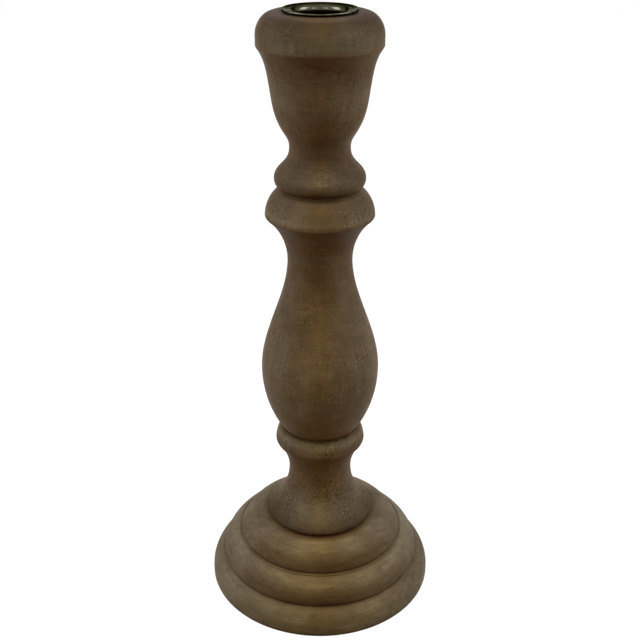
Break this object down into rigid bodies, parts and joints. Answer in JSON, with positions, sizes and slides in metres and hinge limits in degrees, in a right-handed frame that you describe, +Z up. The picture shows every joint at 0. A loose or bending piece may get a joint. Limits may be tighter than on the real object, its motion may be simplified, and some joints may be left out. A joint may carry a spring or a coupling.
{
  "type": "candle holder",
  "caption": "Turned wooden candle holder: a stepped round base, a baluster stem and a rolled cup with a lift-out brass socket for a taper candle.",
  "frame": {"origin": "middle of the felt pad's underside, on the surface that the holder stands on", "axes": "+Z up along the turning axis; the object is round about Z, so X and Y are free"},
  "size_m": [0.1176, 0.1176, 0.3],
  "materials": {
    "stained_wood": "dark walnut-brown stain under a thin matte to satin coat, with the grain and small pores showing",
    "dowel_wood": "bare pale hardwood",
    "antique_brass": "pressed sheet with a dull olive-brown patina and worn bright edges",
    "screw_steel": "plain zinc-plated steel",
    "felt": "dense dark brown felt"
  },
  "bodies": {
    "stand": {"felt_pad": "felt", "base_turning": "stained_wood", "base_screw": "screw_steel", "pedestal_turning": "stained_wood", "pedestal_vase_dowel": "dowel_wood", "vase_turning": "stained_wood", "vase_cup_dowel": "dowel_wood", "cup_turning": "stained_wood"},
    "brass_insert": {"brass_candle_cup": "antique_brass"}
  },
  "joints": [
    {"name": "insert_lift", "type": "slide", "parent": "stand", "child": "brass_insert", "axis": [0, 0, 1], "range_m": [0, 0.04]}
  ]
}
